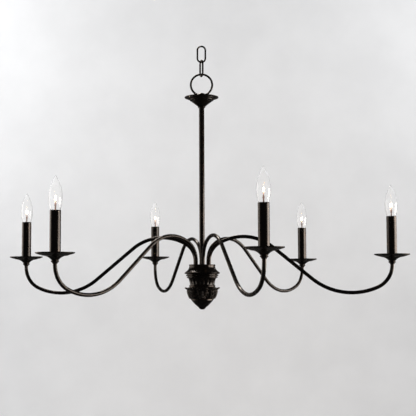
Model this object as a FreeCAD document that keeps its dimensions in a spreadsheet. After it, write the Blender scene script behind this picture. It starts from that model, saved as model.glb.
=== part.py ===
import FreeCAD, Part
import math
import os
import Sketcher

# A six-arm candle chandelier, in millimetres, +Z up. The origin is the crown of
# the upper chain link, where the ceiling hook bears. The front is towards -Y.

Vector = FreeCAD.Vector
Z_AXIS = Vector(0, 0, 1)
ARMS = range(1, 7)

# How a sketch's constraints name an edge's two ends, and the sketch's own origin.
START, END = 1, 2
ORIGIN = (-1, 1)

# Every driving size. Widths are diameters, and angles are in degrees.
DIMENSIONS = {
    # overall
    "arm_reach": 495.0,              # stem axis to candle axis
    "first_seat_angle": -83.0,       # hub seat of arm 1, from +X; the rest every 60
    "first_arm_angle": -72.5,        # candle of arm 1, were the candles evenly spaced
    "arm_1_turn": -2.0,              # how far each candle stands from its even place
    "arm_2_turn": -2.0,
    "arm_3_turn": 4.0,
    "arm_4_turn": 0.0,
    "arm_5_turn": 1.0,
    "arm_6_turn": 0.5,
    "arm_1_rise": 6.5,               # how far each candle stands above the lowest ones
    "arm_2_rise": 0.0,
    "arm_3_rise": 0.0,
    "arm_4_rise": 10.0,
    "arm_5_rise": 2.5,
    "arm_6_rise": 0.0,
    "slip": 0.1,                     # radial clearance of a fixed fit
    "tip_flat": 1.2,                 # small flat at the end of a rounded tip
    "chain_gap": 0.25,               # play between two links, or link and loop
    # chain links
    "link_wire": 4.6,
    "link_inner_length": 38.8,
    "link_inner_width": 16.8,
    "link_twist": 19.4,              # how far the lower link hangs turned
    # hanging loop and its boss
    "loop_outside": 63.0,
    "loop_wire": 5.4,
    "loop_drop": 55.9,               # loop's middle down to the cup's floor
    "boss_width": 23.0,
    "boss_height": 34.0,
    "boss_dome": 4.0,
    "boss_bore_depth": 22.0,
    "wire_exit_width": 6.0,
    # cup on the stem
    "cup_width": 90.4,
    "cup_depth": 21.5,
    "cup_wall": 1.8,
    "cup_shoulder_width": 63.0,
    "cup_shoulder_drop": 8.0,
    "cup_neck": 8.0,
    "cup_bead_width": 19.6,
    "cup_bead_drop": 3.4,            # below the cup's floor
    "cup_bead_height": 2.6,
    # stem tube and the threaded rod in it
    "rod_outside": 10.2,
    "rod_gap": 0.3,                  # radial, from the rod to the stem's bore
    "stem_wall": 1.7,
    "stem_length": 419.0,
    "rod_bore": 6.4,
    "rod_in_boss": 12.0,
    "rod_in_finial": 10.0,
    # hub plate
    "plate_overhang": 1.05,          # past the hub's neck
    "plate_thickness": 3.2,
    # hub body, from the plate down
    "hub_wall": 2.2,
    "nut_margin": 3.15,              # from an arm's nut to the inside of the neck
    "neck_height": 5.0,
    "bead_width": 93.5,
    "bead_drop": 20.5,
    "bead_height": 6.0,
    "ring_width": 84.0,
    "ring_height": 4.6,
    "groove_width": 79.0,
    "waist_top_width": 76.0,
    "waist_width": 64.0,
    "foot_width": 68.0,
    "foot_height": 3.6,
    "hub_body_height": 55.0,
    # leaf bowl
    "bowl_width": 91.0,
    "bowl_lip_drop": 6.0,
    "bowl_throat_width": 78.0,
    "bowl_height": 34.0,
    "bowl_base_width": 63.0,
    "bowl_floor": 3.0,
    # finial
    "finial_width": 59.0,
    "finial_height": 26.5,
    "finial_tip_width": 9.0,
    # arm tube
    "arm_outside": 9.5,
    "arm_wall": 1.1,
    "arm_root_radius": 20.0,         # stem axis to the foot of an arm
    "arm_thread": 10.0,              # threaded end under the plate
    "root_rise": 9.4,                # straight rise above the plate
    "root_bend": 53.7,               # radii of the four bends, from the root out
    "crest_bend": 129.1,
    "belly_bend": 159.9,
    "tip_bend": 62.2,
    "root_turn": 61.2,               # angles turned by the first and third bends
    "belly_turn": 63.1,
    "rim_rise": 23.0,                # dish rims above the plate's top
    "tip_drop": 27.0,                # last bend ends this far under the rims
    "arm_top_rise": 6.0,             # threaded end above the dish floor
    "nut_wall": 3.65,                # from an arm's outside to a nut's corner
    "nut_height": 5.0,
    # drip dish and the collar under it
    "dish_width": 88.9,
    "dish_lip": 1.4,
    "dish_floor_drop": 3.0,
    "dish_floor_width": 60.0,
    "dish_shoulder_width": 42.0,
    "dish_shoulder_drop": 7.6,
    "dish_neck_width": 17.4,
    "dish_height": 18.0,
    "collar_width": 18.8,
    "collar_bead_height": 4.6,
    "collar_height": 8.0,
    "collar_foot_wall": 0.95,
    # candle sleeve, and the riser and socket inside it
    "sleeve_outside": 25.4,
    "sleeve_wall": 1.0,
    "sleeve_length": 98.0,
    "riser_outside": 10.2,
    "riser_bore": 6.4,
    "riser_foot_height": 10.0,
    "riser_in_socket": 7.0,
    "socket_gap": 0.7,               # radial, to the sleeve's bore
    "socket_drop": 9.0,              # socket's mouth below the sleeve's top
    "socket_length": 36.0,
    "socket_bore": 12.4,
    # lamp
    "bulb_width": 31.7,
    "bulb_rise": 80.0,               # tip above the sleeve's top
    "bulb_belly_rise": 27.5,
    "bulb_mouth_gap": 0.6,           # radial, where it passes the sleeve's mouth
    "bulb_neck_width": 12.6,
    "bulb_sink": 8.0,                # glass below the sleeve's top
    "bulb_tip_width": 6.4,
    "bulb_tip_height": 4.6,
    "glass_wall": 0.8,
    "base_gap": 0.35,                # radial, to the socket's bore
    "base_length": 18.0,
    "base_tip_width": 4.6,
    "base_tip_length": 4.0,
    "mount_width": 3.6,              # glass stem that carries the filament
    "mount_rise": 12.0,
    "filament_rise": 28.0,
    "filament_span": 10.0,
    "filament_wire": 0.9,
    # wiring
    "lead_width": 3.2,
    "junction_margin": 5.0,          # past the leads' middles
    "junction_drop": 20.0,           # its top below the plate's underside
    "junction_height": 10.0,
}

doc = FreeCAD.newDocument("candle_chandelier")
sheet = doc.addObject("Spreadsheet::Sheet", "dims")
for row, (name, number) in enumerate(DIMENSIONS.items(), start=1):
    sheet.set(f"A{row}", name)
    sheet.set(f"B{row}", str(number))
    sheet.setAlias(f"B{row}", name)
doc.recompute()


# ---------------------------------------------------------------- expressions

def size(name):
    """The expression of one cell of the sheet."""
    return f"dims.{name}"


def half(name):
    """The radius that belongs to a width in the sheet."""
    return f"(dims.{name} / 2)"


def value(expression):
    """What an expression comes to now, as a plain number."""
    result = sheet.evalExpression(expression)
    return float(getattr(result, "Value", result))


def loosened(name):
    """The radius of a hole in which something of that width is fixed."""
    return f"(dims.{name} / 2 + dims.slip)"


# Radii that follow from what a piece holds or fits into.
STEM_BORE = "(dims.rod_outside / 2 + dims.rod_gap)"
STEM_SIDE = f"({STEM_BORE} + dims.stem_wall)"
NUT_CORNER = "(dims.arm_outside / 2 + dims.nut_wall)"
NECK_INSIDE = f"(dims.arm_root_radius + {NUT_CORNER} + dims.nut_margin)"
NECK_SIDE = f"({NECK_INSIDE} + dims.hub_wall)"
PLATE_SIDE = f"({NECK_SIDE} + dims.plate_overhang)"
SLEEVE_BORE = "(dims.sleeve_outside / 2 - dims.sleeve_wall)"
SOCKET_SIDE = f"({SLEEVE_BORE} - dims.socket_gap)"
MOUTH_SIDE = f"({SLEEVE_BORE} - dims.bulb_mouth_gap)"
BASE_SIDE = "(dims.socket_bore / 2 - dims.base_gap)"

# Levels down the middle, each from the one above it.
LOWER_LINK = "(-dims.link_inner_length + dims.chain_gap)"
LOOP_TOP = f"({LOWER_LINK} - dims.link_inner_length + dims.chain_gap)"
LOOP_MIDDLE = f"({LOOP_TOP} - dims.loop_outside / 2 + dims.loop_wire)"
CUP_FLOOR = f"({LOOP_MIDDLE} - dims.loop_drop)"
STEM_TOP = f"({CUP_FLOOR} - dims.cup_neck)"
PLATE_TOP = f"({STEM_TOP} - dims.stem_length)"
PLATE_BOTTOM = f"({PLATE_TOP} - dims.plate_thickness)"
BOWL_TOP = f"({PLATE_BOTTOM} - dims.hub_body_height)"
FINIAL_TOP = f"({BOWL_TOP} - dims.bowl_height)"
JUNCTION_TOP = f"({PLATE_BOTTOM} - dims.junction_drop)"

# Levels of a candle that has no rise of its own.
RIM = f"({PLATE_TOP} + dims.rim_rise)"
DISH_FLOOR = f"({RIM} - dims.dish_floor_drop)"
COLLAR_TOP = f"({RIM} - dims.dish_height)"
SLEEVE_TOP = f"({DISH_FLOOR} + dims.sleeve_length)"
SOCKET_TOP = f"({SLEEVE_TOP} - dims.socket_drop)"
SOCKET_BOTTOM = f"({SOCKET_TOP} - dims.socket_length)"
GLASS_BOTTOM = f"({SLEEVE_TOP} - dims.bulb_sink)"
ARM_TOP = f"({DISH_FLOOR} + dims.arm_top_rise)"


def evenly(first, arm):
    """One of six even directions, as an angle from +X, counterclockwise from above."""
    spacing = 360 / len(ARMS)
    return f"({size(first)} + {(arm - 1) * spacing:g})"


def seat_angle(arm):
    """Where an arm is seated in the hub. It leaves its seat a little askew."""
    return evenly("first_seat_angle", arm)


def arm_angle(arm):
    """Where an arm's candle stands."""
    return f"({evenly('first_arm_angle', arm)} + dims.arm_{arm}_turn)"


def place(item, level="0", arm=None, at_hub=False):
    """Puts an item at a level, on the stem's axis, or at an arm's candle or hub seat."""
    item.setExpression("Placement.Base.z", level)
    if arm is None:
        return
    radius, angle = size("arm_reach"), arm_angle(arm)
    if at_hub:
        radius, angle = size("arm_root_radius"), seat_angle(arm)
    else:
        item.setExpression("Placement.Base.z", f"{level} + dims.arm_{arm}_rise")
    item.setExpression("Placement.Base.x", f"{radius} * cos({angle})")
    item.setExpression("Placement.Base.y", f"{radius} * sin({angle})")
    item.Placement.Rotation = FreeCAD.Rotation(Z_AXIS, value(angle))
    item.setExpression("Placement.Rotation.Angle", angle)


# --------------------------------------------------------------- turned pieces

def arc_radius(first, second, turn):
    """The radius of an arc that turns by so many degrees between two points."""
    across = f"({second[0]} - ({first[0]}))"
    along = f"({second[1]} - ({first[1]}))"
    chord = f"sqrt({across} ^ 2 + {along} ^ 2)"
    return f"({chord} / (2 * sin({abs(turn) / 2:g})))"


def outline_edge(first, second, turn, radius):
    """A line, or an arc that turns left (turn > 0) or right (turn < 0)."""
    if not turn:
        return Part.LineSegment(first, second)
    along = second - first
    left = Vector(-along.y, along.x, 0).normalize()
    height = math.sqrt(max(radius ** 2 - (along.Length / 2) ** 2, 0))
    centre = (first + second) / 2 + left * math.copysign(height, turn)
    ends = [math.atan2(p.y - centre.y, p.x - centre.x) for p in (first, second)]
    if turn < 0:
        ends.reverse()
    return Part.ArcOfCircle(Part.Circle(centre, Z_AXIS, radius), ends[0], ends[1])


def draw(sketch, outline):
    """Draws a closed outline of (radius, height) or (radius, height, turn) points.

    A point's turn makes an arc of the edge to the next point. Every coordinate
    is an expression, held by a constraint."""
    count = len(outline)
    spots = [Vector(value(p[0]), value(p[1]), 0) for p in outline]
    starts, ends = [], []
    for index, point in enumerate(outline):
        turn = point[2] if len(point) > 2 else 0
        following = (index + 1) % count
        radius = arc_radius(point, outline[following], turn) if turn else "0"
        edge = outline_edge(spots[index], spots[following], turn, value(radius))
        sketch.addGeometry(edge)
        starts.append(END if turn < 0 else START)
        ends.append(START if turn < 0 else END)
        if turn:
            held = sketch.addConstraint(Sketcher.Constraint("Radius", index, value(radius)))
            sketch.setExpression(f"Constraints[{held}]", radius)
    for index, point in enumerate(outline):
        following = (index + 1) % count
        sketch.addConstraint(Sketcher.Constraint(
            "Coincident", index, ends[index], following, starts[following]))
        for kind, expression in (("DistanceX", point[0]), ("DistanceY", point[1])):
            held = sketch.addConstraint(Sketcher.Constraint(
                kind, *ORIGIN, index, starts[index], value(expression)))
            sketch.setExpression(f"Constraints[{held}]", expression)


def turned(label, outline, level="0", arm=None):
    """A body made by turning an outline about its own upright axis."""
    body = doc.addObject("PartDesign::Body", label)
    planes = body.Origin.OriginFeatures
    upright = [plane for plane in planes if plane.Role == "XZ_Plane"][0]
    sketch = body.newObject("Sketcher::SketchObject", f"{label}_outline")
    sketch.AttachmentSupport = [(upright, "")]
    sketch.MapMode = "FlatFace"
    draw(sketch, outline)
    spin = body.newObject("PartDesign::Revolution", f"{label}_spin")
    spin.Profile = sketch
    spin.ReferenceAxis = (sketch, ["V_Axis"])
    spin.Angle = 360
    place(body, level, arm)
    return body


# ------------------------------------------------------------ primitive pieces

def bind(item, **sizes):
    """Binds properties of an item to expressions."""
    for prop, expression in sizes.items():
        item.setExpression(prop, expression)
    return item


def rod(label, radius, length, level="0", arm=None, at_hub=False):
    """An upright cylinder."""
    cylinder = doc.addObject("Part::Cylinder", label)
    bind(cylinder, Radius=radius, Height=length)
    place(cylinder, level, arm, at_hub)
    return cylinder


def hexagon(label, width, height, level, arm, at_hub=False):
    """An upright hexagonal prism, by its width across the corners."""
    prism = doc.addObject("Part::Prism", label)
    prism.Polygon = 6
    bind(prism, Circumradius=width, Height=height)
    place(prism, level, arm, at_hub)
    return prism


def fuse(label, pieces):
    joined = doc.addObject("Part::MultiFuse", label)
    joined.Shapes = pieces
    return joined


def cut(label, base, tool):
    rest = doc.addObject("Part::Cut", label)
    rest.Base = base
    rest.Tool = tool
    return rest


def group(label, pieces):
    """Identical small pieces that share one node, as separate solids."""
    bunch = doc.addObject("Part::Compound", label)
    bunch.Links = pieces
    return bunch


# ----------------------------------------------------------------- arm's route

def bend_step(radius, heading, end_heading):
    """How far a bend goes outward and upward between two headings, in degrees."""
    first, last = math.radians(heading), math.radians(end_heading)
    side = math.copysign(radius, end_heading - heading)
    return Vector(side * (math.sin(last) - math.sin(first)), 0,
                  side * (math.cos(first) - math.cos(last)))


def arm_bends(slope):
    """The four bends of an arm that falls at this slope between crest and belly."""
    first = 90 - value(size("root_turn"))
    third = value(size("belly_turn")) - slope
    return [(value(size("root_bend")), 90, first),
            (value(size("crest_bend")), first, -slope),
            (value(size("belly_bend")), -slope, third),
            (value(size("tip_bend")), third, 90)]


def on_plan(radius, angle):
    """A point at a radius and an angle, given as expressions."""
    return Vector(value(f"{radius} * cos({angle})"), value(f"{radius} * sin({angle})"), 0)


def hub_seat(arm):
    return on_plan(size("arm_root_radius"), seat_angle(arm))


def arm_span(arm):
    """The level step from an arm's hub seat to its candle's axis."""
    return on_plan(size("arm_reach"), arm_angle(arm)) - hub_seat(arm)


def arm_run(slope, span):
    """The straight run that brings the arm to its span, and the fall it gives."""
    bends = sum((bend_step(*bend) for bend in arm_bends(slope)), Vector())
    run = (span - bends.x) / math.cos(math.radians(slope))
    return run, bends.z - run * math.sin(math.radians(slope))


def arm_slope(span):
    """The slope at which the last bend ends at its height, by halving."""
    rise = value(f"{RIM} - dims.tip_drop - ({PLATE_TOP} + dims.root_rise)")
    gentle, steep = 0.0, 80.0
    halvings = 60
    for _ in range(halvings):
        middle = (gentle + steep) / 2
        if arm_run(middle, span)[1] > rise:
            gentle = middle
        else:
            steep = middle
    return middle


def arm_route(arm, bottom, top):
    """An arm's centre line in the XZ plane, from a level at its seat to one at its candle."""
    span = arm_span(arm).Length
    slope = arm_slope(span)
    run = arm_run(slope, span)[0]
    here = Vector(0, 0, value(f"{PLATE_TOP} + dims.root_rise"))
    edges = [Part.LineSegment(Vector(0, 0, bottom), here)]
    for index, (radius, heading, end_heading) in enumerate(arm_bends(slope)):
        middle = here + bend_step(radius, heading, (heading + end_heading) / 2)
        there = here + bend_step(radius, heading, end_heading)
        edges.append(Part.Arc(here, middle, there))
        here = there
        if index == 1:
            fall = math.radians(slope)
            there = here + Vector(math.cos(fall), 0, -math.sin(fall)) * run
            edges.append(Part.LineSegment(here, there))
            here = there
    edges.append(Part.LineSegment(here, Vector(here.x, 0, top)))
    return Part.Wire([edge.toShape() for edge in edges])


def swept(route, radius):
    """A round bar along a route that starts straight up."""
    start = route.OrderedVertexes[0].Point
    ring = Part.Wire(Part.Circle(start, Z_AXIS, radius).toShape())
    return route.makePipeShell([ring], True, False)


def along_arm(label, shape, arm):
    """A computed shape, built along +X from the axis, moved to its seat and swung round."""
    item = doc.addObject("Part::Feature", label)
    item.Shape = shape
    span = arm_span(arm)
    heading = math.degrees(math.atan2(span.y, span.x))
    item.Placement = FreeCAD.Placement(hub_seat(arm), FreeCAD.Rotation(Z_AXIS, heading))
    return item


# ------------------------------------------------------------- chain and loop

def chain_link(label, level, twist):
    """A stadium of round wire whose inner top is at the level."""
    bend = "((dims.link_inner_width + dims.link_wire) / 2)"
    straight = "(dims.link_inner_length - dims.link_inner_width)"
    upper = "(-dims.link_inner_width / 2)"
    pieces = []
    for end, tilt in (("top", 0), ("bottom", 180)):
        arch = doc.addObject("Part::Torus", f"{label}_{end}")
        arch.Angle3 = 180
        bind(arch, Radius1=bend, Radius2=half("link_wire"))
        arch.Placement.Rotation = FreeCAD.Rotation(Vector(1, 0, 0), 90 + tilt)
        arch.setExpression("Placement.Base.z", upper if end == "top" else f"{upper} - {straight}")
        pieces.append(arch)
    for side, sign in (("left", "-"), ("right", "")):
        leg = rod(f"{label}_{side}", half("link_wire"), straight, f"{upper} - {straight}")
        leg.setExpression("Placement.Base.x", f"{sign}{bend}")
        pieces.append(leg)
    link = fuse(label, pieces)
    link.Refine = True
    link.Placement.Rotation = FreeCAD.Rotation(Z_AXIS, value(twist))
    link.setExpression("Placement.Rotation.Angle", twist)
    link.setExpression("Placement.Base.z", level)
    return link


def hang_loop():
    """The ring and the domed boss under it, in one casting."""
    ring = doc.addObject("Part::Torus", "loop_ring")
    bind(ring, Radius1="(dims.loop_outside - dims.loop_wire) / 2", Radius2=half("loop_wire"))
    ring.Placement.Rotation = FreeCAD.Rotation(Vector(1, 0, 0), 90)
    ring.setExpression("Placement.Base.z", LOOP_MIDDLE)
    boss_side = "(dims.boss_height - dims.boss_dome)"
    boss = turned("loop_boss", [
        ("0", "0"),
        (half("boss_width"), "0"),
        (half("boss_width"), boss_side, 38),
        (half("tip_flat"), size("boss_height")),
        ("0", size("boss_height"))], CUP_FLOOR)
    casting = fuse("loop_casting", [ring, boss])
    bore = rod("loop_bore", loosened("rod_outside"), size("boss_bore_depth"), CUP_FLOOR)
    exit_level = f"({CUP_FLOOR} + dims.boss_bore_depth - dims.wire_exit_width)"
    exit_hole = rod("loop_exit", half("wire_exit_width"), size("boss_width"), exit_level)
    exit_hole.Placement.Rotation = FreeCAD.Rotation(Vector(1, 0, 0), -90)
    return cut("hang_loop", casting, fuse("loop_holes", [bore, exit_hole]))


# ------------------------------------------------------------- cup, stem, rod

def stem_cup():
    """An upturned shallow cup with a flared foot that sits on the stem."""
    inner_shoulder = "(dims.cup_shoulder_width / 2 - dims.cup_wall)"
    rim = "dims.cup_depth"
    shoulder = "(dims.cup_depth - dims.cup_shoulder_drop)"
    return turned("stem_cup", [
        (loosened("rod_outside"), "-dims.cup_neck"),
        (STEM_SIDE, "-dims.cup_neck"),
        (half("cup_bead_width"), "-dims.cup_bead_drop - dims.cup_bead_height", 60),
        (half("cup_bead_width"), "-dims.cup_bead_drop", -4),
        (half("cup_shoulder_width"), shoulder),
        (half("cup_shoulder_width"), f"{shoulder} + dims.cup_wall / 2", 10),
        (half("cup_width"), f"{rim} - dims.cup_wall / 2", 120),
        (half("cup_width"), f"{rim} + dims.cup_wall / 2", -10),
        (inner_shoulder, f"{shoulder} + dims.cup_wall * 2"),
        (loosened("boss_width"), "0"),
        (loosened("rod_outside"), "0")], CUP_FLOOR)


def stem_tube():
    return turned("stem_tube", [
        (STEM_BORE, "0"),
        (STEM_SIDE, "0"),
        (STEM_SIDE, size("stem_length")),
        (STEM_BORE, size("stem_length"))], PLATE_TOP)


def tie_rod():
    """The hollow threaded rod that draws loop, stem, hub and finial together."""
    foot = f"({FINIAL_TOP} - dims.rod_in_finial)"
    length = f"({CUP_FLOOR} + dims.rod_in_boss - {foot})"
    return turned("tie_rod", [
        (half("rod_bore"), "0"),
        (half("rod_outside"), "0"),
        (half("rod_outside"), length),
        (half("rod_bore"), length)], foot)


# ------------------------------------------------------------------------ hub

def hub_plate():
    """The lid of the hub, with a rounded edge and a hole for each arm."""
    disc = turned("plate_disc", [
        (loosened("rod_outside"), "-dims.plate_thickness"),
        (PLATE_SIDE, "-dims.plate_thickness", 60),
        (PLATE_SIDE, "0"),
        (loosened("rod_outside"), "0")], PLATE_TOP)
    holes = [rod(f"plate_hole_{arm}", loosened("arm_outside"), size("plate_thickness"),
                 PLATE_BOTTOM, arm, True) for arm in ARMS]
    return cut("hub_plate", disc, fuse("plate_holes", holes))


def hub_body():
    """The vase under the plate: neck, bead, two rings, a waist and a foot."""
    neck_foot = "(-dims.neck_height)"
    bead_top = "(-dims.bead_drop + dims.bead_height / 2)"
    bead_foot = "(-dims.bead_drop - dims.bead_height / 2)"
    ring_foot = f"({bead_foot} - dims.ring_height)"
    second_foot = f"({ring_foot} - dims.ring_height)"
    foot_top = "(-dims.hub_body_height + dims.foot_height)"
    bottom = "(-dims.hub_body_height)"
    bead_root = "(dims.bead_width / 2 - dims.bead_height / 3)"
    inside_waist = "(dims.waist_width / 2 - dims.hub_wall)"
    return turned("hub_body", [
        (NECK_SIDE, "0"),
        (NECK_SIDE, neck_foot, 42),
        (bead_root, bead_top, -150),
        (bead_root, bead_foot),
        (half("ring_width"), bead_foot, -120),
        (half("groove_width"), ring_foot, -120),
        (half("waist_top_width"), second_foot, 34),
        (half("waist_width"), foot_top),
        (half("foot_width"), foot_top, -90),
        (half("foot_width"), bottom),
        (inside_waist, bottom),
        (inside_waist, second_foot),
        (NECK_INSIDE, bead_top),
        (NECK_INSIDE, "0")], PLATE_BOTTOM)


def leaf_bowl():
    """The bowl that carries the leaves, with a turned-out lip."""
    lip = "(-dims.bowl_lip_drop)"
    throat = "(-dims.bowl_lip_drop * 2)"
    bottom = "(-dims.bowl_height)"
    inner_base = "(dims.bowl_base_width / 2 - dims.hub_wall)"
    return turned("leaf_bowl", [
        (half("foot_width"), "0", 20),
        (half("bowl_width"), "(-dims.bowl_lip_drop + dims.hub_wall / 2)", -170),
        (half("bowl_width"), "(-dims.bowl_lip_drop - dims.hub_wall / 2)", 24),
        (half("bowl_throat_width"), throat, -26),
        (half("bowl_base_width"), bottom),
        (loosened("rod_outside"), bottom),
        (loosened("rod_outside"), f"{bottom} + dims.bowl_floor"),
        (inner_base, f"{bottom} + dims.bowl_floor", 22),
        ("(dims.waist_width / 2 - dims.hub_wall)", lip),
        ("(dims.waist_width / 2 - dims.hub_wall)", "0")], BOWL_TOP)


def finial():
    """The turned nut that ends the hub and pulls everything up on the rod."""
    rod_top = "(-dims.rod_in_finial)"
    tip = "(-dims.finial_height + dims.finial_tip_width / 2)"
    return turned("finial", [
        (loosened("rod_outside"), "0"),
        (half("finial_width"), "0", -14),
        (half("finial_tip_width"), tip, -40),
        (half("tip_flat"), "-dims.finial_height"),
        ("0", "-dims.finial_height"),
        ("0", rod_top),
        (loosened("rod_outside"), rod_top)], FINIAL_TOP)


def junction_ring():
    """The moulded terminal ring in the hub, where the arms' leads meet."""
    bore = f"({STEM_BORE} + dims.rod_gap)"
    side = "(dims.arm_root_radius + dims.junction_margin)"
    return turned("junction_ring", [
        (bore, "-dims.junction_height"),
        (side, "-dims.junction_height"),
        (side, "0"),
        (bore, "0")], JUNCTION_TOP)


# ------------------------------------------------------------------- each arm

def arm_tube(arm):
    bottom = value(f"{PLATE_BOTTOM} - dims.arm_thread")
    route = arm_route(arm, bottom, value(f"{ARM_TOP} + dims.arm_{arm}_rise"))
    radius = value(half("arm_outside"))
    outside = swept(route, radius)
    inside = swept(route, radius - value(size("arm_wall")))
    return along_arm(f"arm_{arm}", outside.cut(inside), arm)


def arm_lead(arm):
    """The insulated lead through an arm, from the junction ring to the socket."""
    top = value(f"{SOCKET_BOTTOM} + dims.arm_{arm}_rise")
    route = arm_route(arm, value(JUNCTION_TOP), top)
    return along_arm(f"lead_{arm}", swept(route, value(half("lead_width"))), arm)


def arm_nut(arm):
    level = f"({PLATE_BOTTOM} - dims.nut_height)"
    body = hexagon(f"nut_body_{arm}", NUT_CORNER, size("nut_height"), level, arm, True)
    bore = rod(f"nut_bore_{arm}", loosened("arm_outside"), size("nut_height"), level, arm, True)
    return cut(f"arm_nut_{arm}", body, bore)


def drip_dish(arm):
    """A shallow round dish that runs down into a flared neck."""
    lip = "(-dims.dish_lip)"
    floor = "(-dims.dish_floor_drop)"
    return turned(f"bobeche_{arm}", [
        (loosened("arm_outside"), "-dims.dish_height"),
        (half("dish_neck_width"), "-dims.dish_height", -34),
        (half("dish_shoulder_width"), "-dims.dish_shoulder_drop", 12),
        (half("dish_width"), lip, 90),
        (half("dish_width"), "0"),
        ("(dims.dish_width / 2 - dims.dish_lip)", "0", -14),
        (half("dish_floor_width"), floor),
        (loosened("arm_outside"), floor)], RIM, arm)


def collar(arm):
    """The beaded check that carries the dish on the arm."""
    bead_foot = "(-dims.collar_bead_height)"
    foot = "(dims.arm_outside / 2 + dims.collar_foot_wall)"
    root = "(dims.collar_width / 2 - dims.collar_bead_height / 4)"
    return turned(f"collar_{arm}", [
        (loosened("arm_outside"), "-dims.collar_height"),
        (foot, "-dims.collar_height", -40),
        (root, bead_foot, 110),
        (root, "0"),
        (loosened("arm_outside"), "0")], COLLAR_TOP, arm)


def candle_sleeve(arm):
    return turned(f"candle_sleeve_{arm}", [
        (SLEEVE_BORE, "0"),
        (half("sleeve_outside"), "0"),
        (half("sleeve_outside"), size("sleeve_length")),
        (SLEEVE_BORE, size("sleeve_length"))], DISH_FLOOR, arm)


def riser(arm):
    """The hexagon-footed nipple that clamps the dish and carries the socket."""
    foot = hexagon(f"riser_foot_{arm}", NUT_CORNER, size("riser_foot_height"),
                   DISH_FLOOR, arm)
    length = f"({SOCKET_BOTTOM} + dims.riser_in_socket - {DISH_FLOOR})"
    neck = rod(f"riser_neck_{arm}", half("riser_outside"), length, DISH_FLOOR, arm)
    thread = rod(f"riser_thread_{arm}", loosened("arm_outside"), size("arm_top_rise"),
                 DISH_FLOOR, arm)
    bore = rod(f"riser_bore_{arm}", half("riser_bore"), length, DISH_FLOOR, arm)
    return cut(f"riser_{arm}", fuse(f"riser_solid_{arm}", [foot, neck]),
               fuse(f"riser_holes_{arm}", [thread, bore]))


def lamp_socket(arm):
    """The moulded lampholder: a threaded bore above, the riser's seat below."""
    seat = f"({GLASS_BOTTOM} - dims.base_length - {SOCKET_BOTTOM})"
    riser_top = size("riser_in_socket")
    return turned(f"socket_{arm}", [
        (loosened("riser_outside"), "0"),
        (SOCKET_SIDE, "0"),
        (SOCKET_SIDE, size("socket_length")),
        (half("socket_bore"), size("socket_length")),
        (half("socket_bore"), seat),
        ("0", seat),
        ("0", riser_top),
        (loosened("riser_outside"), riser_top)], SOCKET_BOTTOM, arm)


# ----------------------------------------------------------------------- lamp

def bulb_glass(arm):
    """The torpedo of clear glass, open at its neck."""
    mouth = size("bulb_sink")
    belly = "(dims.bulb_sink + dims.bulb_belly_rise)"
    tip = "(dims.bulb_sink + dims.bulb_rise)"
    tip_foot = f"({tip} - dims.bulb_tip_height)"

    def inside(side):
        return f"({side} - dims.glass_wall)"

    return turned(f"bulb_glass_{arm}", [
        (half("bulb_neck_width"), "0", -24),
        (MOUTH_SIDE, mouth, 19),
        (half("bulb_width"), belly, 30),
        (half("bulb_tip_width"), tip_foot, 50),
        (half("tip_flat"), tip),
        ("0", tip),
        ("0", f"{tip} - dims.glass_wall"),
        (half("tip_flat"), f"{tip} - dims.glass_wall", -50),
        (inside(half("bulb_tip_width")), tip_foot, -30),
        (inside(half("bulb_width")), belly, -19),
        (inside(MOUTH_SIDE), mouth, 24),
        (inside(half("bulb_neck_width")), "0")], GLASS_BOTTOM, arm)


def bulb_base(arm):
    """The screw base, a cylinder that tapers to the contact at its foot."""
    shell_foot = "(-dims.base_length + dims.base_tip_length)"
    return turned(f"bulb_base_{arm}", [
        ("0", "-dims.base_length"),
        (half("base_tip_width"), "-dims.base_length", 30),
        (BASE_SIDE, shell_foot),
        (BASE_SIDE, "0"),
        ("0", "0")], GLASS_BOTTOM, arm)


def bulb_filament(arm):
    """The glass stem, its two lead-in wires and the filament across them."""
    stem = turned(f"mount_{arm}", [
        ("0", "0"),
        ("(dims.bulb_neck_width / 2 - dims.glass_wall - dims.slip)", "0", -50),
        (half("mount_width"), "dims.mount_rise / 2"),
        (half("mount_width"), "(dims.bulb_sink + dims.mount_rise)"),
        ("0", "(dims.bulb_sink + dims.mount_rise)")])
    wire = half("filament_wire")
    bottom = "(dims.bulb_sink + dims.mount_rise / 2)"
    rise = f"(dims.bulb_sink + dims.filament_rise - {bottom})"
    lean = f"atan(dims.filament_span / 2 / {rise})"
    pieces = [stem]
    for side, sign in (("left", -1), ("right", 1)):
        leg = rod(f"support_{side}_{arm}", wire, f"{rise} / cos({lean})", bottom)
        leg.Placement.Rotation = FreeCAD.Rotation(Vector(0, sign, 0), value(lean))
        leg.setExpression("Placement.Rotation.Angle", lean)
        pieces.append(leg)
    bar = rod(f"filament_bar_{arm}", size("filament_wire"), size("filament_span"),
              "(dims.bulb_sink + dims.filament_rise)")
    bar.setExpression("Placement.Base.x", "-dims.filament_span / 2")
    bar.Placement.Rotation = FreeCAD.Rotation(Vector(0, 1, 0), 90)
    pieces.append(bar)
    mount = fuse(f"bulb_filament_{arm}", pieces)
    place(mount, GLASS_BOTTOM, arm)
    return mount


# -------------------------------------------------------------------- assembly

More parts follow.
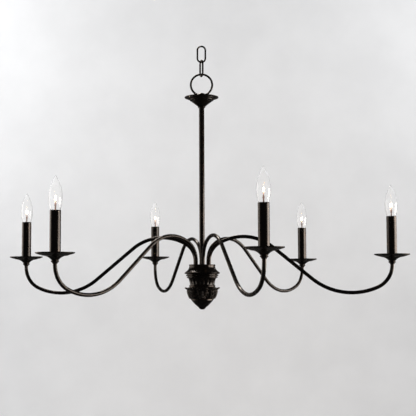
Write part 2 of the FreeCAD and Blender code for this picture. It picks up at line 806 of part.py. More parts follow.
parts = {
    "chain_link_upper": chain_link("chain_link_upper", "0", "0"),
    "chain_link_lower": chain_link("chain_link_lower", LOWER_LINK, "90 + dims.link_twist"),
    "hang_loop": hang_loop(),
    "stem_cup": stem_cup(),
    "stem_tube": stem_tube(),
    "tie_rod": tie_rod(),
    "hub_plate": hub_plate(),
    "hub_body": hub_body(),
    "leaf_bowl": leaf_bowl(),
    "finial": finial(),
    "junction_ring": junction_ring(),
    "arm_nuts": group("arm_nuts", [arm_nut(arm) for arm in ARMS]),
    "arm_leads": group("arm_leads", [arm_lead(arm) for arm in ARMS]),
    "arm_collars": group("arm_collars", [collar(arm) for arm in ARMS]),
    "socket_risers": group("socket_risers", [riser(arm) for arm in ARMS]),
}
for arm in ARMS:
    parts[f"arm_{arm}"] = arm_tube(arm)
    parts[f"bobeche_{arm}"] = drip_dish(arm)
    parts[f"candle_sleeve_{arm}"] = candle_sleeve(arm)
    parts[f"socket_{arm}"] = lamp_socket(arm)
    parts[f"bulb_glass_{arm}"] = bulb_glass(arm)
    parts[f"bulb_base_{arm}"] = bulb_base(arm)
    parts[f"bulb_filament_{arm}"] = bulb_filament(arm)

doc.recompute()
for item in doc.Objects:
    if {"Invalid", "Error"} & set(item.State):
        raise RuntimeError(f"{item.Label} failed to recompute: {item.State}")
for name, part in parts.items():
    part.Label = name
    if part.Shape.isNull() or not part.Shape.isValid() or not part.Shape.Solids:
        raise RuntimeError(f"{name} has no valid solid")

os.makedirs("parts", exist_ok=True)
for name, part in parts.items():
    part.Shape.exportStep(f"parts/{name}.step")
    print(f"{name}: {len(part.Shape.Solids)} solid(s), {part.Shape.Volume:.0f} mm3")
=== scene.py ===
import math

import bmesh
import bpy
from mathutils import Matrix, Vector


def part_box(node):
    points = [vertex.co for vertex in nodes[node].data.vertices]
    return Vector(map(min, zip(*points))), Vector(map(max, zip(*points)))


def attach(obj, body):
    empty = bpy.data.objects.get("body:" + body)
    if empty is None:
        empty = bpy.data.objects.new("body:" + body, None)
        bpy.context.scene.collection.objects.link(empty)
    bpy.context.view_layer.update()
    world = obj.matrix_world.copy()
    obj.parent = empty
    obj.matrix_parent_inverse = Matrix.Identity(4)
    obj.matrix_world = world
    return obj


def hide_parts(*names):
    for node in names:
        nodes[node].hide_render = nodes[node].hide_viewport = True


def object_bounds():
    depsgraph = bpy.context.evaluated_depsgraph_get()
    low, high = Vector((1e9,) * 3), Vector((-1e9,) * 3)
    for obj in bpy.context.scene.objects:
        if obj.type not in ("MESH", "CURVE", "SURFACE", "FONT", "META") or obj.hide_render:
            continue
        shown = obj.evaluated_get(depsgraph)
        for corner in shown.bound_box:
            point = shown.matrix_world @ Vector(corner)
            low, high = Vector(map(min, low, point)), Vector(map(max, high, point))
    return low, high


# A six-arm candle chandelier in oil-rubbed bronze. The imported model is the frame:
# every place and overall size comes from its boxes. Lengths are in metres, and MM
# turns the small details, which are given in millimetres, into metres.

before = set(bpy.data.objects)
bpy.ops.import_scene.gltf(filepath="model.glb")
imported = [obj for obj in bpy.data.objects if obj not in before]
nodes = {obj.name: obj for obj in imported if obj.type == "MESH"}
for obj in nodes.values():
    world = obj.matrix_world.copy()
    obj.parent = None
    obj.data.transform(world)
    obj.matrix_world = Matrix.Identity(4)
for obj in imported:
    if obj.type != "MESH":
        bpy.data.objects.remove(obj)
cad_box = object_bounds()

MM = 0.001
ARMS = range(1, 7)
UP = Vector((0, 0, 1))


# ------------------------------------------------------------------ mesh helpers

def foot_of(node):
    """A node's middle on plan and its lowest level."""
    low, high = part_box(node)
    middle = (low + high) / 2
    return Vector((middle.x, middle.y, 0)), low.z


def lerp(a, b, share):
    return a + (b - a) * share


def smooth_step(share):
    share = min(max(share, 0.0), 1.0)
    return share * share * (3 - 2 * share)


def arc(first, last, turn, steps):
    """Points from first to last along an arc that turns left by so many degrees."""
    if abs(turn) < 1:
        return [(lerp(first[0], last[0], i / steps), lerp(first[1], last[1], i / steps))
                for i in range(steps)]
    dx, dy = last[0] - first[0], last[1] - first[1]
    half_turn = math.radians(turn) / 2
    rise = 0.5 / math.tan(half_turn)
    centre = ((first[0] + last[0]) / 2 - dy * rise, (first[1] + last[1]) / 2 + dx * rise)
    begin = math.atan2(first[1] - centre[1], first[0] - centre[0])
    radius = math.hypot(first[0] - centre[0], first[1] - centre[1])
    points = []
    for step in range(steps):
        angle = begin + 2 * half_turn * step / steps
        points.append((centre[0] + radius * math.cos(angle), centre[1] + radius * math.sin(angle)))
    return points


def outline(corners):
    """A dense closed outline, in millimetres, from (radius, height, turn, steps) corners.

    A corner's turn, in degrees, makes an arc of the edge to the next corner."""
    points = []
    for index, corner in enumerate(corners):
        turn = corner[2] if len(corner) > 2 else 0
        steps = corner[3] if len(corner) > 3 else 1
        points += arc(corner, corners[(index + 1) % len(corners)], turn, steps)
    return points


def new_piece(name, mesh, material, body, slot, *replaced):
    """Links a mesh as a piece that rides on a body and stands for CAD nodes."""
    piece = bpy.data.objects.new(name, mesh)
    bpy.context.scene.collection.objects.link(piece)
    mesh.materials.append(material)
    for face in mesh.polygons:
        face.use_smooth = True
    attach(piece, body)
    if replaced:
        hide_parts(*replaced)
    return piece


def keep_edges(piece):
    """Leaves a piece's edges sharp where its faces meet at more than 34 degrees."""
    piece.data.set_sharp_from_angle(angle=math.radians(34))


def lathe_into(bm, profile, sides, shape=None):
    """Adds a surface turned from a closed outline. shape(r, z, angle) may move each point."""
    rings = []
    for radius, height in profile:
        if radius < 1e-6:
            rings.append([bm.verts.new((0, 0, height))])
            continue
        ring = []
        for side in range(sides):
            angle = math.tau * side / sides
            r, z = shape(radius, height, angle) if shape else (radius, height)
            ring.append(bm.verts.new((r * math.cos(angle), r * math.sin(angle), z)))
        rings.append(ring)
    for lower, upper in zip(rings, rings[1:] + rings[:1]):
        for side in range(sides if len(lower) + len(upper) > 2 else 0):
            after = (side + 1) % sides
            corners = [lower[side % len(lower)], lower[after % len(lower)],
                       upper[after % len(upper)], upper[side % len(upper)]]
            bm.faces.new(dict.fromkeys(corners))


def finished_mesh(name, bm):
    bmesh.ops.recalc_face_normals(bm, faces=bm.faces)
    mesh = bpy.data.meshes.new(name)
    bm.to_mesh(mesh)
    bm.free()
    return mesh


def tube_into(bm, path, radius, sides):
    """Adds a round bar along a path."""
    rings = []
    normal = None
    for index, point in enumerate(path):
        before = path[max(index - 1, 0)]
        after = path[min(index + 1, len(path) - 1)]
        tangent = (after - before).normalized()
        if normal is None:
            normal = tangent.orthogonal().normalized()
        normal = (normal - tangent * normal.dot(tangent)).normalized()
        across = tangent.cross(normal)
        rings.append([bm.verts.new(point + (normal * math.cos(a) + across * math.sin(a)) * radius)
                      for a in (2 * math.pi * side / sides for side in range(sides))])
    for first, last in zip(rings, rings[1:]):
        for side in range(sides):
            after = (side + 1) % sides
            bm.faces.new((first[side], first[after], last[after], last[side]))
    bm.faces.new(list(reversed(rings[0])))
    bm.faces.new(rings[-1])


# --------------------------------------------------------------------- materials

class Shader:
    """A node material, built by naming nodes as they are added."""

    def __init__(self, name):
        self.material = bpy.data.materials.new(name)
        self.material.use_nodes = True
        self.tree = self.material.node_tree
        self.surface = self.tree.nodes["Principled BSDF"]

    def add(self, kind, **inputs):
        node = self.tree.nodes.new(kind)
        for key, setting in inputs.items():
            node.inputs[key.replace("_", " ")].default_value = setting
        return node

    def link(self, source, target):
        self.tree.links.new(source, target)

    def noise(self, scale, detail):
        """Noise in the object's own space, whose features are about 1/scale metres."""
        place = self.add("ShaderNodeTexCoord")
        texture = self.add("ShaderNodeTexNoise", Scale=scale, Detail=detail, Roughness=0.55)
        self.link(place.outputs["Object"], texture.inputs["Vector"])
        return texture.outputs["Fac"]

    def ramp(self, source, stops):
        """Maps a value to colours given as (position, colour) stops."""
        node = self.add("ShaderNodeValToRGB")
        ramp = node.color_ramp
        while len(ramp.elements) < len(stops):
            ramp.elements.new(0.5)
        for element, (position, colour) in zip(ramp.elements, stops):
            element.position = position
            element.color = (*colour, 1)
        self.link(source, node.inputs["Fac"])
        return node.outputs["Color"]

    def grey(self, source, low, high, start=0.3, end=0.7):
        """Maps a value between start and end to a number between low and high."""
        node = self.add("ShaderNodeMapRange", From_Min=start, From_Max=end, To_Min=low, To_Max=high)
        self.link(source, node.inputs["Value"])
        return node.outputs["Result"]

    def mix(self, share, first, colour):
        """Blends one output into a plain colour by a share from 0 to 1."""
        node = self.add("ShaderNodeMix")
        node.data_type = "RGBA"
        self.link(share, node.inputs["Factor"])
        self.link(first, node.inputs[6])
        node.inputs[7].default_value = (*colour, 1)
        return node.outputs[2]

    def multiply(self, first, second):
        node = self.add("ShaderNodeMath")
        node.operation = "MULTIPLY"
        self.link(first, node.inputs[0])
        self.link(second, node.inputs[1])
        return node.outputs[0]

    def bump(self, height, distance, strength, base=None):
        node = self.add("ShaderNodeBump", Distance=distance, Strength=strength)
        self.link(height, node.inputs["Height"])
        if base:
            self.link(base, node.inputs["Normal"])
        return node.outputs["Normal"]

    def set(self, **inputs):
        for key, setting in inputs.items():
            self.surface.inputs[key.replace("_", " ")].default_value = setting


def bronze(name, cast, edged):
    """Oil-rubbed bronze: near black, brown in patches, with the finish rubbed off.

    cast is how rough the casting under the finish is, from 0 (drawn tube) to 1.
    An edged piece is rubbed on its corners, and a plain tube only here and there."""
    shader = Shader(name)
    patina = shader.ramp(shader.noise(38, 5), [
        (0.30, (0.007, 0.006, 0.005)), (0.55, (0.015, 0.012, 0.010)),
        (0.78, (0.034, 0.024, 0.018))])
    rubbed = shader.grey(shader.noise(260, 3), 0.15, 1.0, 0.40, 0.62)
    if edged:
        geometry = shader.add("ShaderNodeNewGeometry")
        worn = shader.grey(geometry.outputs["Pointiness"], 0, 0.5, 0.52, 0.62)
    else:
        worn = shader.grey(shader.noise(55, 6), 0, 0.12, 0.52, 0.72)
    colour = shader.mix(shader.multiply(worn, rubbed), patina, (0.24, 0.150, 0.095))
    shader.link(colour, shader.surface.inputs["Base Color"])
    shader.link(shader.grey(shader.noise(120, 4), 0.20, 0.36), shader.surface.inputs["Roughness"])
    pores = shader.bump(shader.noise(900, 2), 0.00008 + 0.0002 * cast, 0.25)
    waves = shader.bump(shader.noise(70 + 90 * cast, 2), 0.0006, 0.05 + 0.15 * cast, pores)
    shader.link(waves, shader.surface.inputs["Normal"])
    shader.set(Metallic=0.9, Coat_Weight=0.5, Coat_Roughness=0.14, Coat_Tint=(1.0, 0.84, 0.68, 1))
    return shader.material


def clear_glass():
    """Blown lamp glass, with the faint ripple of a drawn envelope and a faint painted glow that lightens
    the glass.
    """
    shader = Shader("clear_glass")
    tint = shader.ramp(shader.noise(30, 2), [(0.3, (0.985, 0.985, 0.98)), (0.7, (1.0, 1.0, 1.0))])
    shader.link(tint, shader.surface.inputs["Base Color"])
    shader.link(shader.grey(shader.noise(200, 3), 0.0, 0.03), shader.surface.inputs["Roughness"])
    shader.link(shader.bump(shader.noise(60, 1), 0.0002, 0.02), shader.surface.inputs["Normal"])
    # The small emission is a painted glow on the glass itself, not light from the filament.
    shader.set(Transmission_Weight=1.0, IOR=1.45,
               Emission_Color=(1.0, 0.97, 0.94, 1), Emission_Strength=0.02)
    return shader.material


def plain(name, dark, light, roughness, metallic, scale, relief, **settings):
    """A two-tone material with a fine relief, for small parts."""
    shader = Shader(name)
    colour = shader.ramp(shader.noise(scale, 4), [(0.35, dark), (0.65, light)])
    shader.link(colour, shader.surface.inputs["Base Color"])
    low, high = roughness
    shader.link(shader.grey(shader.noise(scale * 2, 3), low, high), shader.surface.inputs["Roughness"])
    shader.link(shader.bump(shader.noise(scale * 6, 2), relief, 0.3), shader.surface.inputs["Normal"])
    shader.set(Metallic=metallic, **settings)
    return shader.material


def glowing_wire():
    """The filament: tungsten, white hot where the noise makes it brightest."""
    shader = Shader("glowing_filament")
    heat = shader.ramp(shader.noise(500, 2), [(0.3, (1.0, 0.62, 0.30)), (0.6, (1.0, 0.80, 0.52))])
    shader.link(heat, shader.surface.inputs["Emission Color"])
    shader.link(heat, shader.surface.inputs["Base Color"])
    shader.link(shader.grey(shader.noise(800, 2), 0.4, 0.6), shader.surface.inputs["Roughness"])
    shader.set(Emission_Strength=60.0)
    return shader.material


BRONZE_TUBE = bronze("bronze_tube", 0.0, False)
BRONZE_CAST = bronze("bronze_cast", 1.0, True)
BRONZE_SPUN = bronze("bronze_spun", 0.35, True)
GLASS = clear_glass()
STEM_GLASS = plain("stem_glass", (0.50, 0.30, 0.24), (0.72, 0.50, 0.42), (0.15, 0.3), 0.0, 200,
                   0.0001, Transmission_Weight=0.5)
COPPER = plain("lead_in_wire", (0.50, 0.22, 0.14), (0.72, 0.38, 0.26), (0.25, 0.4), 1.0, 300, 0.00005)
BRASS = plain("screw_shell", (0.50, 0.36, 0.16), (0.70, 0.54, 0.28), (0.22, 0.38), 1.0, 180, 0.00006)
STEEL = plain("plated_steel", (0.42, 0.40, 0.36), (0.60, 0.58, 0.54), (0.28, 0.45), 1.0, 150, 0.00008)
PHENOLIC = plain("phenolic", (0.010, 0.010, 0.010), (0.024, 0.022, 0.020), (0.40, 0.6), 0.0, 220,
                 0.0001)
INSULATION = plain("lead_insulation", (0.10, 0.06, 0.025), (0.22, 0.14, 0.06), (0.35, 0.5), 0.0,
                   160, 0.0001)
FILAMENT = glowing_wire()


# ------------------------------------------------------------- carried-over nodes

def dress(name, material):
    """Gives a carried-over CAD node its detailed material."""
    mesh = nodes[name].data
    mesh.materials.clear()
    mesh.materials.append(material)


for node in ("tie_rod", "arm_nuts", "socket_risers"):
    dress(node, STEEL)
for node in ("chain_link_upper", "chain_link_lower", "hang_loop", "stem_tube", "hub_plate"):
    dress(node, BRONZE_TUBE)
dress("junction_ring", PHENOLIC)
dress("arm_leads", INSULATION)
for arm in ARMS:
    dress(f"arm_{arm}", BRONZE_TUBE)
    dress(f"socket_{arm}", PHENOLIC)


# ------------------------------------------------------------------ stage & light

FLOOR_DROP = 2.1        # from the chandelier's foot to the floor


def studio():
    """A pale floor that sweeps up into a backdrop. The dark metal doesn't mirror it."""
    floor_level = cad_box[0].z - FLOOR_DROP
    width, front, back, top, bend, bend_steps = 9.0, -7.0, 4.0, 6.5, 2.0, 16
    bm = bmesh.new()
    section = [(front, floor_level), (back - bend, floor_level)]
    for step in range(1, bend_steps + 1):
        angle = math.pi / 2 * step / bend_steps
        section.append((back - bend + bend * math.sin(angle),
                        floor_level + bend * (1 - math.cos(angle))))
    section.append((back, floor_level + top))
    rows = [[bm.verts.new((x, y, z)) for x in (-width, width)] for y, z in section]
    for lower, upper in zip(rows, rows[1:]):
        bm.faces.new((lower[0], lower[1], upper[1], upper[0]))
    mesh = finished_mesh("backdrop", bm)
    backdrop = bpy.data.objects.new("backdrop", mesh)
    bpy.context.scene.collection.objects.link(backdrop)
    for face in mesh.polygons:
        face.use_smooth = True
    paper = plain("backdrop_paper", (0.76, 0.76, 0.765), (0.80, 0.80, 0.805), (0.8, 0.9), 0.0, 3,
                  0.0005)
    mesh.materials.append(paper)
    backdrop.visible_glossy = False


def softbox(name, place, aim, width, height, power, tint, mirrored=True):
    """A rectangular area light that isn't seen, straight on or through the glass."""
    light = bpy.data.lights.new(name, "AREA")
    light.shape = "RECTANGLE"
    light.size, light.size_y = width, height
    light.energy = power
    light.color = tint
    lamp = bpy.data.objects.new(name, light)
    bpy.context.scene.collection.objects.link(lamp)
    lamp.location = place
    lamp.rotation_euler = (Vector(aim) - Vector(place)).to_track_quat("-Z", "Y").to_euler()
    lamp.visible_camera = False
    lamp.visible_transmission = False
    lamp.visible_glossy = mirrored


def lighting():
    """Soft boxes to the right, left and above, and washes on the backdrop and the floor."""
    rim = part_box("bobeche_2")[1].z
    aim = (0, 0, rim)
    cool = (0.97, 0.985, 1.0)
    softbox("right_box", (2.5, -0.1, rim - 0.1), aim, 2.5, 1.1, 64, (1.0, 0.92, 0.84))
    softbox("left_box", (-2.5, 0.7, rim + 0.1), aim, 2.4, 1.8, 26, (1.0, 0.93, 0.86))
    softbox("top_box", (-0.6, 1.3, rim + 1.9), aim, 1.0, 0.4, 20, (1.0, 0.95, 0.90))
    softbox("left_wash", (-3.3, 1.6, rim + 2.4), (-2.9, 4.0, rim + 1.0), 3.0, 1.2, 138, cool,
            mirrored=False)
    softbox("right_wash", (3.4, 1.6, rim + 2.6), (3.2, 4.0, rim + 1.2), 3.0, 1.2, 102, cool,
            mirrored=False)
    softbox("floor_wash", (0, -2.0, rim - 1.1), (0, -2.0, rim - 2), 14.0, 7.0, 170, cool,
            mirrored=False)
    sky(dim=0.05, pale=0.72)


def sky(dim, pale):
    """A world that looks pale, straight on and through glass, and lights dimly."""
    world = bpy.data.worlds.new("studio")
    world.use_nodes = True
    tree = world.node_tree
    backdrop = tree.nodes["Background"]
    backdrop.inputs["Color"].default_value = (0.98, 0.98, 1.0, 1)
    path = tree.nodes.new("ShaderNodeLightPath")
    seen = tree.nodes.new("ShaderNodeMath")
    seen.operation = "MAXIMUM"
    strength = tree.nodes.new("ShaderNodeMapRange")
    strength.inputs["To Min"].default_value = dim
    strength.inputs["To Max"].default_value = pale
    tree.links.new(path.outputs["Is Camera Ray"], seen.inputs[0])
    tree.links.new(path.outputs["Is Transmission Ray"], seen.inputs[1])
    tree.links.new(seen.outputs[0], strength.inputs["Value"])
    tree.links.new(strength.outputs["Result"], backdrop.inputs["Strength"])
    bpy.context.scene.world = world


def camera():
    """The camera stands in front, a little under the dishes, and looks slightly up."""
    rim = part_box("bobeche_2")[1].z
    distance, drop = 2.4307, 0.0636
    yaw, pitch, roll = (math.radians(a) for a in (0.38, 4.49, 0.25))
    view_angle = math.radians(25.63)
    data = bpy.data.cameras.new("camera")
    data.sensor_width = 36.0
    data.angle = view_angle
    data.clip_end = 50
    eye = bpy.data.objects.new("camera", data)
    bpy.context.scene.collection.objects.link(eye)
    turn = (Matrix.Rotation(-yaw, 4, "Z") @ Matrix.Rotation(math.pi / 2 + pitch, 4, "X")
            @ Matrix.Rotation(-roll, 4, "Z"))
    eye.matrix_world = Matrix.Translation((0, -distance, rim - drop)) @ turn
    bpy.context.scene.camera = eye


studio()
lighting()
camera()
bpy.context.scene.view_settings.view_transform = "Standard"

# ----------------------------------------------------------- pieces on the stem

def seat(bm, low, high):
    """Stretches a mesh drawn in millimetres so that it just fills a box."""
    for axis in range(3):
        spots = [vert.co[axis] for vert in bm.verts]
        least, most = min(spots), max(spots)
        for vert in bm.verts:
            vert.co[axis] = lerp(low[axis], high[axis], (vert.co[axis] - least) / (most - least))


def turned_piece(name, node, corners, material, body, slot, sides=128, shape=None, foot_gap=0):
    """A turned piece that stands for its CAD node and fills the same box.

    foot_gap, in millimetres, keeps its foot off a face that the node rests on."""
    bm = bmesh.new()
    lathe_into(bm, outline(corners), sides, shape)
    low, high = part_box(node)
    seat(bm, low + UP * foot_gap * MM, high)
    piece = new_piece(name, finished_mesh(name, bm), material, body, slot, node)
    keep_edges(piece)
    return piece


def cup():
    """The spun cup under the loop: a stepped rim on a ribbed cone, and a beaded neck."""
    turned_piece("spun_stem_cup", "stem_cup", [
        (5.2, -8.0), (7.1, -8.0), (7.2, -6.4), (9.2, -6.0, 150, 8), (9.2, -3.4), (9.8, -3.0),
        (14.0, 0.2), (14.3, 0.9), (19.5, 4.6), (19.8, 5.3), (26.0, 9.6), (26.3, 10.3),
        (30.6, 13.0, 70, 6), (32.3, 14.4), (32.6, 15.2, 10, 8), (38.0, 18.2), (38.1, 18.9),
        (39.2, 19.2, 8, 6), (45.2, 20.7, 170, 8), (45.0, 22.3, -10, 10),
        (29.7, 17.0), (11.6, 0.4), (11.6, 0.0), (5.2, 0.0)],
        BRONZE_SPUN, "chandelier", "bronze")


RIBS = 16           # round the hub's waist
LEAVES = 8          # round the bowl


def hub():
    """The cast vase: neck, sharp bead, two rings and a ribbed waist."""
    waist_top, waist_foot, inner_wall, rib_depth = -33.6, -50.6, 29.0, 2.1

    def ribbed(radius, height, angle):
        if radius < inner_wall or not waist_foot < height < waist_top:
            return radius, height
        ends = min(waist_top - height, height - waist_foot) / 3.0
        hollow = 1 - abs(math.cos(RIBS * angle / 2)) ** 0.7
        return radius - rib_depth * hollow * smooth_step(ends), height

    turned_piece("cast_hub_body", "hub_body", [
        (33.75, 0, 0, 5), (33.75, -3.4), (34.3, -3.9), (34.3, -5.0, 38, 14), (43.4, -16.2),
        (43.9, -17.2), (45.1, -17.8, -150, 12), (45.1, -21.2), (43.0, -22.0), (39.4, -23.0), (39.4, -23.6),
        (41.2, -24.0, -150, 10), (41.0, -27.4), (37.8, -28.2), (37.8, -28.8), (39.6, -29.2, -150, 10),
        (39.2, -32.2), (36.6, -32.8), (36.0, -33.6, 16, 30), (31.8, -50.6), (32.6, -51.2, -160, 8),
        (33.6, -53.8), (34.0, -54.0, 0, 4), (34.0, -55.0), (28.0, -55.0), (28.0, -33.2),
        (31.4, -17.5), (31.4, 0)],
        BRONZE_CAST, "chandelier", "bronze", 384, ribbed)


def leaf_relief(angle, share):
    """How far the carving stands out, in millimetres, from the lip (0) to the base (1)."""
    off = abs((angle * LEAVES / math.tau + 0.5) % 1 - 0.5) * 2
    edge = 0.86 - 0.26 * share + 0.09 * math.sin(math.tau * 4 * share)
    if off < edge:
        body = 2.1 * math.sqrt(1 - (off / edge) ** 2 * 0.9)
        veins = 0.60 * math.sin(math.tau * (5.5 * share - 1.3 * off)) * smooth_step(off / 0.25)
        rib = 0.80 * math.exp(-(off / 0.07) ** 2) - 0.70 * math.exp(-((off - 0.19) / 0.06) ** 2)
        return body + veins + rib
    behind = (1 - off) / (1 - edge)
    back_rib = 0.4 * math.exp(-((1 - off) / 0.07) ** 2)
    return -1.4 + (1.2 * math.sqrt(max(1 - behind ** 2, 0)) + back_rib) * smooth_step(share * 3)


def bowl():
    """The bowl of acanthus leaves, whose tips curl out into a scalloped lip."""
    lip_width, throat, base, inner_wall = 45.5, -12.0, -33.0, 31.0
    scallop_in, scallop_down = 5.2, 1.6

    def carved(radius, height, angle):
        if radius < inner_wall and height > base:
            return radius, height
        tip = abs(math.cos(LEAVES * angle / 2)) ** 0.6
        share = min(max((height - throat) / (base - throat), 0), 1)
        if height > throat:
            fade = smooth_step((radius - 34.5) / 5)
            lip = smooth_step((radius - 37.0) / 6)
        else:
            fade = 1 - smooth_step((share - 0.94) / 0.06)
            lip = 0
        radius -= lip * scallop_in * (1 - tip)
        height -= lip * scallop_down * (1 - tip)
        out = leaf_relief(angle, share) * fade
        if height > throat:
            return radius + out * 0.35 * (1 - lip), height + out * 0.5 * lip
        return radius - 1.2 + out, height

    turned_piece("carved_leaf_bowl", "leaf_bowl", [
        (34.0, 0), (34.6, -2.6), (37.0, -5.4, 40, 10), (43.6, -3.2, -20, 4), (lip_width, -3.4, -150, 8),
        (lip_width - 0.4, -6.0, -12, 6), (41.5, -8.6, 30, 8), (39.6, -12.0, -24, 44), (32.0, -32.6),
        (31.0, -33.0), (31.5, -33.4), (31.5, -34), (5.2, -34), (5.2, -31), (29.0, -31),
        (30.4, -6), (30.4, 0)],
        BRONZE_CAST, "chandelier", "bronze", 512, carved)


def finial():
    """The turned nut under the bowl, with a stepped rim and a rounded tip."""
    turned_piece("turned_finial", "finial", [
        (5.2, 0), (29.5, 0, 0, 4), (29.5, -1.3), (28.4, -1.9), (28.4, -2.5, -16, 22), (10.6, -20.4),
        (9.9, -21.2, 20, 3), (9.2, -22.2, -70, 12), (0, -26.5), (0, -10), (5.2, -10)],
        BRONZE_SPUN, "chandelier", "bronze")


# ----------------------------------------------------------- pieces of each arm

def dish(arm):
    """A spun drip dish: a thin rolled lip, a step under it and a flared neck."""
    turned_piece(f"spun_bobeche_{arm}", f"bobeche_{arm}", [
        (4.85, -18), (8.2, -18), (8.7, -17.4, -34, 12), (19.2, -9.6), (20.0, -8.9, 8, 6),
        (31.0, -6.9), (31.3, -6.4), (32.0, -6.3, 12, 10), (43.2, -2.9, 120, 8), (44.3, 0),
        (42.9, -0.2, -14, 10), (30.0, -3.0), (17.0, -3.0), (16.4, -2.6), (14.2, -2.6), (13.6, -3.0),
        (4.85, -3.0)],
        BRONZE_SPUN, "chandelier", "bronze", 160)


def collars():
    """The six beaded checks under the dishes, in one piece."""
    bm = bmesh.new()
    for arm in ARMS:
        middle, dish_foot = foot_of(f"bobeche_{arm}")
        ring = bmesh.new()
        lathe_into(ring, outline([
            (4.85, -8), (5.7, -8, -40, 8), (7.4, -4.9), (7.4, -4.5), (8.3, -4.4, 130, 10), (8.3, -1.0),
            (7.6, -0.6), (7.6, 0), (4.85, 0)]), 72)
        for vert in ring.verts:
            vert.co = middle + UP * dish_foot + vert.co * MM
        part = finished_mesh("collar_part", ring)
        bm.from_mesh(part)
        bpy.data.meshes.remove(part)
    piece = new_piece("turned_arm_collars", finished_mesh("turned_arm_collars", bm), BRONZE_SPUN,
                      "chandelier", "bronze", "arm_collars")
    keep_edges(piece)


def sleeve(arm):
    """A candle sleeve of thin tube, its mouth rolled and its wall a little uneven."""
    def dented(radius, height, angle):
        wave = math.sin(height / 9.0 + 2 * angle + arm) * math.sin(height / 23.0 + arm)
        return radius - 0.06 * (1 + wave), height

    turned_piece(f"drawn_sleeve_{arm}", f"candle_sleeve_{arm}", [
        (11.7, 0), (12.7, 0, 0, 40), (12.7, 97.4, 90, 5), (12.1, 98.0, 90, 5), (11.7, 97.6)],
        BRONZE_TUBE, "chandelier", "bronze", 96, dented)


# ---------------------------------------------------------------- the six lamps

THREAD_PITCH = 2.54     # of an E12 base


def glass(arm):
    """The blown envelope: a torpedo with a drawn-out tip."""
    turned_piece(f"blown_glass_{arm}", f"bulb_glass_{arm}", [
        (6.3, 0, -24, 10), (11.1, 8.0, 19, 20), (15.85, 35.5, 30, 40), (3.4, 82.4, -12, 6),
        (1.3, 86.2, 70, 6), (0, 88), (0, 86.6), (0.8, 85.4, 12, 6), (2.7, 81.8, -30, 40),
        (15.05, 35.5, -19, 20), (10.3, 8.0, 24, 10), (5.5, 0)],
        GLASS, f"lamp_{arm}", "bulb_glass", 96)


def base(arm):
    """The screw shell with its rolled thread, a black insulator and the contact."""
    insulator_top, contact_top = -14.2, -16.8
    thread_foot, thread_top, thread_depth, shell_inside = -12.8, -1.4, 0.5, 5.0

    def threaded(radius, height, angle):
        if radius < shell_inside or not thread_foot < height < thread_top:
            return radius, height
        ends = min(thread_top - height, height - thread_foot) / 1.2
        groove = 0.5 - 0.5 * math.cos(math.tau * height / THREAD_PITCH - angle)
        return radius - thread_depth * groove * smooth_step(ends), height

    piece = turned_piece(f"screw_base_{arm}", f"bulb_base_{arm}", [
        (0, -18), (2.3, -18.0, 40, 4), (2.9, -16.8, 10, 4), (4.6, -14.2), (5.3, -14.0, 30, 4),
        (5.85, thread_foot, 0, 66), (5.85, thread_top), (5.85, -0.3), (5.5, 0), (0, 0)],
        BRASS, f"lamp_{arm}", "bulb_base", 64, threaded, foot_gap=0.05)
    piece.data.materials.append(PHENOLIC)
    piece.data.materials.append(STEEL)
    low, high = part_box(f"bulb_base_{arm}")
    for face in piece.data.polygons:
        height = (face.center.z - high.z) / MM
        if height < insulator_top:
            face.material_index = 1 if height > contact_top else 2


def along(middle, turn, foot, spots):
    """Points given as (across, deep, height) in millimetres over a lamp's foot."""
    facing = Matrix.Rotation(turn, 3, "Z")
    return [middle + facing @ Vector((x * MM, y * MM, 0)) + UP * (foot + z * MM) for x, y, z in spots]


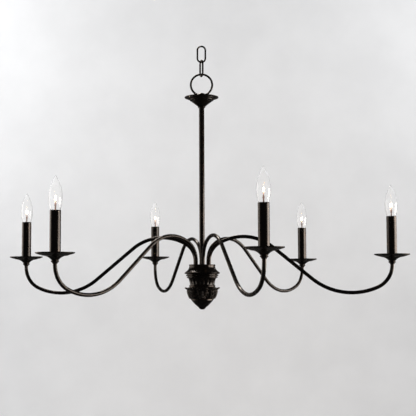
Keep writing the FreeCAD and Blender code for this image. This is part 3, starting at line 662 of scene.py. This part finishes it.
def filament(arm):
    """The lit coil, two lead-in wires with a support hook, and the pinched glass stem."""
    middle, foot = foot_of(f"bulb_glass_{arm}")
    turn = math.atan2(middle.y, middle.x)
    half_span, low_end, high_end = 1.9, 31.0, 38.0
    coil_radius, coil_pitch, turn_points = 0.7, 0.75, 12
    coil_wire, lead_wire, hook_wire = 0.24, 0.38, 0.2

    spine = [(-half_span, low_end), (-half_span, high_end)]
    spine += [(-half_span * math.cos(a), high_end + half_span * math.sin(a))
              for a in (math.pi * step / 8 for step in range(1, 8))]
    spine += [(half_span, high_end), (half_span, low_end)]
    lengths = [math.dist(a, b) for a, b in zip(spine, spine[1:])]
    winds = sum(lengths) / coil_pitch
    coil = []
    count = int(winds * turn_points)
    for step in range(count + 1):
        gone = sum(lengths) * step / count
        index = 0
        while index < len(lengths) - 1 and gone > lengths[index]:
            gone -= lengths[index]
            index += 1
        first, last = spine[index], spine[index + 1]
        share = gone / lengths[index]
        out = ((last[1] - first[1]) / lengths[index], -(last[0] - first[0]) / lengths[index])
        wind = math.tau * winds * step / count
        coil.append((lerp(first[0], last[0], share) + out[0] * coil_radius * math.cos(wind),
                     coil_radius * math.sin(wind),
                     lerp(first[1], last[1], share) + out[1] * coil_radius * math.cos(wind)))
    bm = bmesh.new()
    tube_into(bm, along(middle, turn, foot, coil), coil_wire * MM, 6)
    body = f"lamp_{arm}"
    new_piece(f"lit_coil_{arm}", finished_mesh("coil", bm), FILAMENT, body, "filament",
              f"bulb_filament_{arm}")

    bm = bmesh.new()
    for side in (-1, 1):
        tube_into(bm, along(middle, turn, foot, [
            (side * 1.0, 0, 7), (side * 1.1, 0, 18), (side * 2.3, 0.3 * side, 22),
            (side * 1.3, 0, 26), (side * 2.2, 0, 29), (side * half_span, 0, low_end),
            (side * half_span, 0, low_end + 1.5)]),
            lead_wire * MM, 10)
    tube_into(bm, along(middle, turn, foot, [
        (0, 0, 22), (0.5, 0.4, 27), (-0.5, -0.3, 32), (0, 0, high_end + half_span - 1.2),
        (0, 0.9, high_end + half_span), (0, 0, high_end + half_span + 1.2)]),
        hook_wire * MM, 8)
    new_piece(f"lead_in_wires_{arm}", finished_mesh("leads", bm), COPPER, body, "filament")

    bm = bmesh.new()
    lathe_into(bm, outline([
        (0, 0.2), (5.2, 0.2, -50, 10), (1.9, 9.0), (1.7, 16.0, 30, 6), (2.6, 20.0, -60, 6),
        (2.3, 23.4, -70, 6), (0, 25.0)]), 40)
    for vert in bm.verts:
        vert.co = middle + UP * foot + vert.co * MM
    stem = new_piece(f"pinched_stem_{arm}", finished_mesh("stem", bm), STEM_GLASS, body, "bulb_glass")
    keep_edges(stem)


cup()
hub()
bowl()
finial()
collars()
for arm in ARMS:
    dish(arm)
    sleeve(arm)
    glass(arm)
    base(arm)
    filament(arm)
